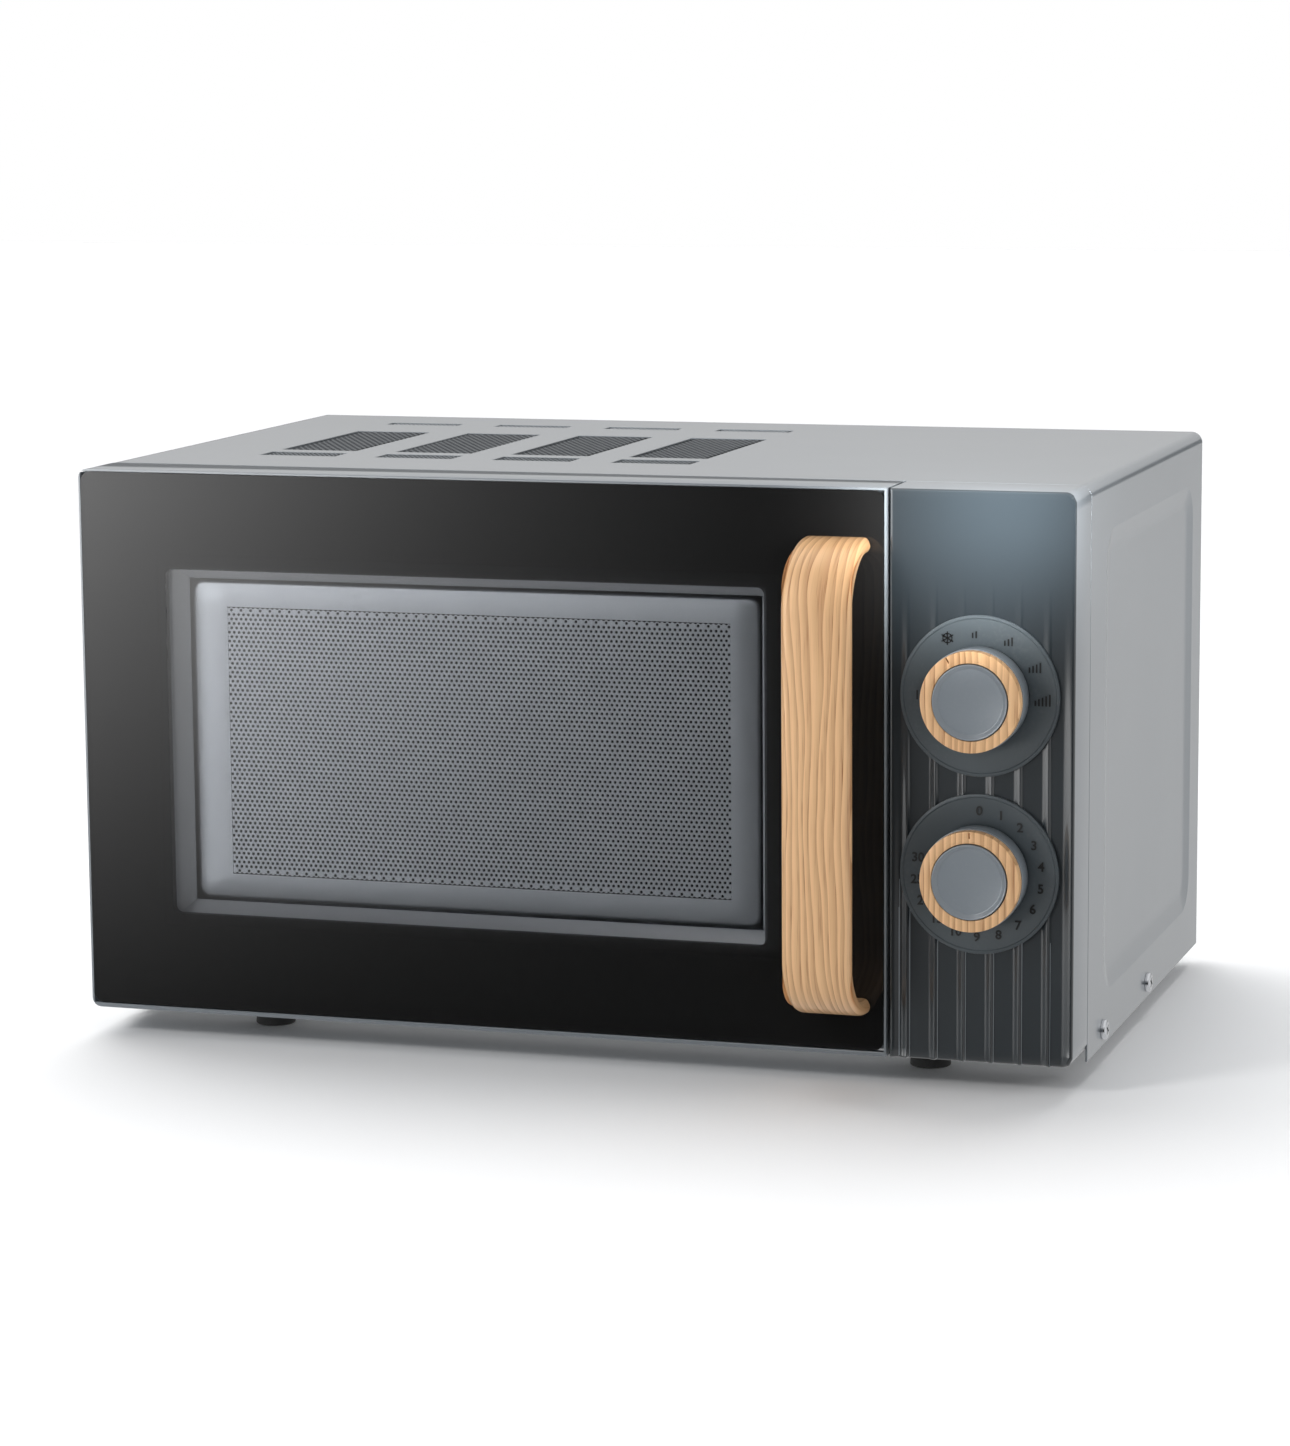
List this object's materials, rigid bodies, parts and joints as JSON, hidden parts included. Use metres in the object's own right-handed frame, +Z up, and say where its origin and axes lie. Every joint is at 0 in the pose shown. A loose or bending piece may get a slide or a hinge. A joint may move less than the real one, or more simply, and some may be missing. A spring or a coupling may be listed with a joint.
{
  "type": "microwave oven",
  "caption": "Countertop microwave oven with a side-hinged glass door, oak handle, two dial knobs, a turntable and its inner microwave source.",
  "frame": {"origin": "on the surface under the feet, below the middle of the bounding box", "axes": "+X to the right of a person facing the oven, +Y towards its back, +Z up"},
  "size_m": [0.4446, 0.3224, 0.25],
  "materials": {
    "grey_enamel": "satin baked paint",
    "grey_plastic": "moulded, satin",
    "black_glass": "back-printed black glass, polished",
    "oak": "satin lacquered oak",
    "zinc_steel": "zinc-plated sheet",
    "cavity_enamel": "smooth oven paint",
    "chrome": "bright plated",
    "black_rubber": "matt",
    "black_plastic": "moulded, matt",
    "white_plastic": "moulded, satin",
    "clear_glass": "pressed clear glass",
    "aluminium": "bare",
    "copper": "varnished copper wire",
    "lamination": "varnished laminations",
    "mica": "pressed mica sheet"
  },
  "bodies": {
    "casing": {"outer_wrapper": "grey_enamel", "control_panel": "grey_plastic", "power_dial_plate": "grey_plastic", "timer_dial_plate": "grey_plastic", "back_panel": "zinc_steel", "base_plate": "zinc_steel", "front_plate": "zinc_steel", "upper_hinge": "zinc_steel", "lower_hinge": "zinc_steel", "turntable_motor": "zinc_steel", "waveguide": "zinc_steel", "cavity": "cavity_enamel", "side_screw_left_front": "chrome", "side_screw_left_rear": "chrome", "side_screw_right_front": "chrome", "side_screw_right_rear": "chrome", "foot_front_left": "black_rubber", "foot_front_right": "black_rubber", "foot_rear_left": "black_rubber", "foot_rear_right": "black_rubber", "cord_gland": "black_rubber", "interlock_bracket": "black_plastic", "primary_switch": "black_plastic", "monitor_switch": "black_plastic", "fan_shroud": "black_plastic", "timer_unit": "white_plastic", "power_selector": "white_plastic", "lamp": "white_plastic", "magnetron": "aluminium", "hv_capacitor": "aluminium", "transformer_winding": "copper", "transformer_core": "lamination", "fan_motor": "lamination", "waveguide_cover": "mica"},
    "door": {"door_frame": "grey_plastic", "door_glass": "black_glass", "door_screen": "zinc_steel", "choke_cover": "black_plastic", "door_handle": "oak", "handle_screw_upper": "zinc_steel", "handle_screw_lower": "zinc_steel", "latch_spring": "zinc_steel"},
    "door_latch": {"door_latch": "black_plastic"},
    "power_knob": {"power_knob_barrel": "grey_plastic", "power_knob_ring": "oak", "power_knob_cap": "grey_plastic", "power_shaft": "zinc_steel"},
    "timer_knob": {"timer_knob_barrel": "grey_plastic", "timer_knob_ring": "oak", "timer_knob_cap": "grey_plastic", "timer_shaft": "zinc_steel"},
    "turntable": {"turntable_plate": "clear_glass", "turntable_coupler": "white_plastic"},
    "roller_ring": {"roller_ring": "white_plastic"},
    "roller_1": {"roller_1": "white_plastic"},
    "roller_2": {"roller_2": "white_plastic"},
    "roller_3": {"roller_3": "white_plastic"},
    "fan_blade": {"fan_blade": "black_plastic"},
    "primary_plunger": {"primary_plunger": "white_plastic"},
    "monitor_plunger": {"monitor_plunger": "white_plastic"}
  },
  "joints": [
    {"name": "door_hinge", "type": "hinge", "parent": "casing", "child": "door", "pos_m": [-0.2135, -0.11525, 0.125], "axis": [0, 0, -1], "range_deg": [0, 95]},
    {"name": "latch_lift", "type": "slide", "parent": "door", "child": "door_latch", "axis": [0, 0, 1], "range_m": [0, 0.005], "stiffness_N_per_m": 150, "springref_m": -0.004, "deforming": ["latch_spring"]},
    {"name": "power_knob_turn", "type": "hinge", "parent": "casing", "child": "power_knob", "pos_m": [0.1806, -0.12625, 0.1657], "axis": [0, 1, 0], "range_deg": [-61, 121]},
    {"name": "timer_knob_turn", "type": "hinge", "parent": "casing", "child": "timer_knob", "pos_m": [0.1806, -0.12625, 0.0917], "axis": [0, 1, 0], "range_deg": [0, 283]},
    {"name": "turntable_spin", "type": "hinge", "parent": "casing", "child": "turntable", "pos_m": [-0.04, 0.0231, 0.0456], "axis": [0, 0, 1], "continuous": true},
    {"name": "roller_ring_spin", "type": "hinge", "parent": "casing", "child": "roller_ring", "pos_m": [-0.04, 0.0231, 0.0388], "axis": [0, 0, 1], "continuous": true},
    {"name": "roller_1_spin", "type": "hinge", "parent": "roller_ring", "child": "roller_1", "pos_m": [0.049, 0.0231, 0.0388], "axis": [1, 0, 0], "continuous": true},
    {"name": "roller_2_spin", "type": "hinge", "parent": "roller_ring", "child": "roller_2", "pos_m": [-0.0845, 0.10018, 0.0388], "axis": [-0.5, 0.866, 0], "continuous": true},
    {"name": "roller_3_spin", "type": "hinge", "parent": "roller_ring", "child": "roller_3", "pos_m": [-0.0845, -0.05398, 0.0388], "axis": [-0.5, -0.866, 0], "continuous": true},
    {"name": "fan_spin", "type": "hinge", "parent": "casing", "child": "fan_blade", "pos_m": [0.171, 0.12475, 0.156], "axis": [0, 1, 0], "continuous": true},
    {"name": "primary_press", "type": "slide", "parent": "casing", "child": "primary_plunger", "axis": [0, 1, 0], "range_m": [0, 0.001], "stiffness_N_per_m": 600, "springref_m": -0.0005},
    {"name": "monitor_press", "type": "slide", "parent": "casing", "child": "monitor_plunger", "axis": [0, 1, 0], "range_m": [0, 0.001], "stiffness_N_per_m": 600, "springref_m": -0.0005}
  ],
  "couplings": [
    {"joint": "roller_ring_spin", "follows": "turntable_spin", "ratio": 0.5},
    {"joint": "roller_1_spin", "follows": "turntable_spin", "ratio": -6.8462},
    {"joint": "roller_2_spin", "follows": "turntable_spin", "ratio": -6.8462},
    {"joint": "roller_3_spin", "follows": "turntable_spin", "ratio": -6.8462}
  ]
}
